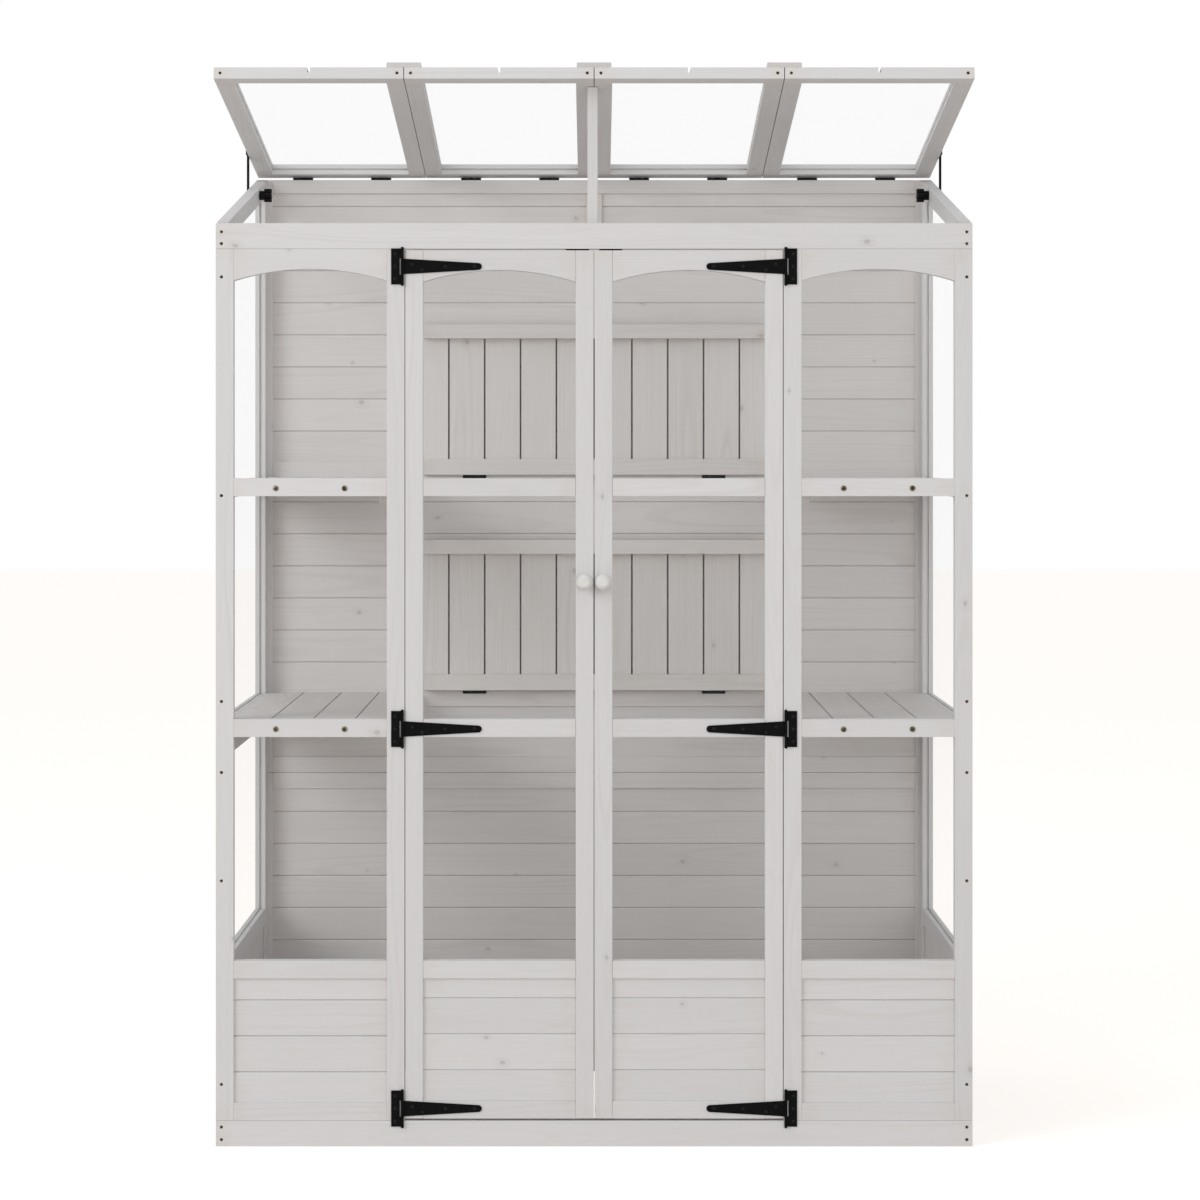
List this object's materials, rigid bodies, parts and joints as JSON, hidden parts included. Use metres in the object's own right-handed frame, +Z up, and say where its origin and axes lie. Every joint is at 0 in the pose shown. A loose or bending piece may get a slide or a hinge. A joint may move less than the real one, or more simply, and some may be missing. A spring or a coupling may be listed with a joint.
{
  "type": "lean-to greenhouse",
  "caption": "Wooden lean-to greenhouse with glazed doors and sides, planked back, tip-up skylight roof, fixed side shelves and fold-down middle shelves.",
  "frame": {"origin": "on the ground, below the middle of the overall box with the doors shut and the roof open", "axes": "+Z up, -Y towards the doors, +X to the right as seen from the doors"},
  "size_m": [1.464, 0.787, 2.0723],
  "materials": {
    "white_wood": "thin matt white stain over softwood, with faint grain and knots",
    "inner_wood": "the same white stain on the planks and boards inside",
    "clear_sheet": "clear polished plastic sheet",
    "black_steel": "matt black powder coat",
    "black_plastic": "matt black moulded plastic",
    "dark_screws": "dark sunk screw heads",
    "bright_steel": "zinc plated steel"
  },
  "bodies": {
    "frame": {"front_rails": "white_wood", "left_panel_frame": "white_wood", "left_panel_planks": "white_wood", "right_panel_frame": "white_wood", "right_panel_planks": "white_wood", "front_panes": "clear_sheet", "left_wall_frame": "white_wood", "left_wall_planks": "inner_wood", "right_wall_frame": "white_wood", "right_wall_planks": "inner_wood", "side_panes": "clear_sheet", "back_lower_frame": "inner_wood", "back_lower_planks": "inner_wood", "back_middle_frame": "inner_wood", "back_middle_planks": "inner_wood", "back_upper_frame": "inner_wood", "back_upper_planks": "inner_wood", "left_lower_shelf": "inner_wood", "left_upper_shelf": "inner_wood", "right_lower_shelf": "inner_wood", "right_upper_shelf": "inner_wood", "shelf_rests": "inner_wood", "door_catches": "black_plastic", "frame_screws": "dark_screws", "shelf_screws": "bright_steel", "door_hinge_plates": "black_steel", "roof_hinge_plates": "black_steel", "fold_hinge_plates": "black_steel", "clamp_bolts": "black_steel"},
    "left_door": {"left_door_frame": "white_wood", "left_door_planks": "white_wood", "left_door_panes": "clear_sheet", "left_door_straps": "black_steel", "left_door_knob": "white_wood", "left_strike": "bright_steel"},
    "right_door": {"right_door_frame": "white_wood", "right_door_planks": "white_wood", "right_door_panes": "clear_sheet", "right_door_straps": "black_steel", "right_door_knob": "white_wood", "right_strike": "bright_steel"},
    "roof": {"skylight_1": "white_wood", "skylight_2": "white_wood", "skylight_3": "white_wood", "skylight_4": "white_wood", "skylight_panes": "clear_sheet", "seam_strips": "white_wood", "roof_hinge_flaps": "black_steel", "roof_screws": "dark_screws"},
    "prop": {"prop": "white_wood", "prop_hinge_flap": "black_steel"},
    "left_stay": {"left_stay": "black_steel"},
    "right_stay": {"right_stay": "black_steel"},
    "left_clamp_knob": {"left_clamp_knob": "black_plastic"},
    "right_clamp_knob": {"right_clamp_knob": "black_plastic"},
    "lower_folding_shelf": {"lower_folding_shelf": "inner_wood", "lower_fold_flaps": "black_steel"},
    "upper_folding_shelf": {"upper_folding_shelf": "inner_wood", "upper_fold_flaps": "black_steel"}
  },
  "joints": [
    {"name": "left_door_hinge", "type": "hinge", "parent": "frame", "child": "left_door", "pos_m": [-0.36725, -0.35719, 0.883], "axis": [0, 0, -1], "range_deg": [0, 170]},
    {"name": "right_door_hinge", "type": "hinge", "parent": "frame", "child": "right_door", "pos_m": [0.36725, -0.35719, 0.883], "axis": [0, 0, 1], "range_deg": [0, 170]},
    {"name": "roof_hinge", "type": "hinge", "parent": "frame", "child": "roof", "pos_m": [0, 0.38821, 1.91951], "axis": [-1, 0, 0], "range_deg": [-20.3, 0]},
    {"name": "left_stay_swing", "type": "hinge", "parent": "roof", "child": "left_stay", "pos_m": [-0.7271, 0.21531, 1.95995], "axis": [-1, 0, 0], "range_deg": [0, 20.3]},
    {"name": "right_stay_swing", "type": "hinge", "parent": "roof", "child": "right_stay", "pos_m": [0.7271, 0.21531, 1.95995], "axis": [-1, 0, 0], "range_deg": [0, 20.3]},
    {"name": "prop_fold", "type": "hinge", "parent": "roof", "child": "prop", "pos_m": [-0.003, -0.31587, 2.02651], "axis": [1, 0, 0], "range_deg": [0, 78]},
    {"name": "left_knob_turn", "type": "hinge", "parent": "frame", "child": "left_clamp_knob", "pos_m": [-0.691, 0.21298, 1.87], "axis": [1, 0, 0], "continuous": true},
    {"name": "right_knob_turn", "type": "hinge", "parent": "frame", "child": "right_clamp_knob", "pos_m": [0.691, 0.21298, 1.87], "axis": [-1, 0, 0], "continuous": true},
    {"name": "lower_shelf_fold", "type": "hinge", "parent": "frame", "child": "lower_folding_shelf", "pos_m": [0, 0.36121, 0.815], "axis": [1, 0, 0], "range_deg": [0, 90]},
    {"name": "upper_shelf_fold", "type": "hinge", "parent": "frame", "child": "upper_folding_shelf", "pos_m": [0, 0.36121, 1.2765], "axis": [1, 0, 0], "range_deg": [0, 90]}
  ],
  "couplings": [
    {"joint": "left_stay_swing", "follows": "roof_hinge", "ratio": -1},
    {"joint": "right_stay_swing", "follows": "roof_hinge", "ratio": -1}
  ]
}
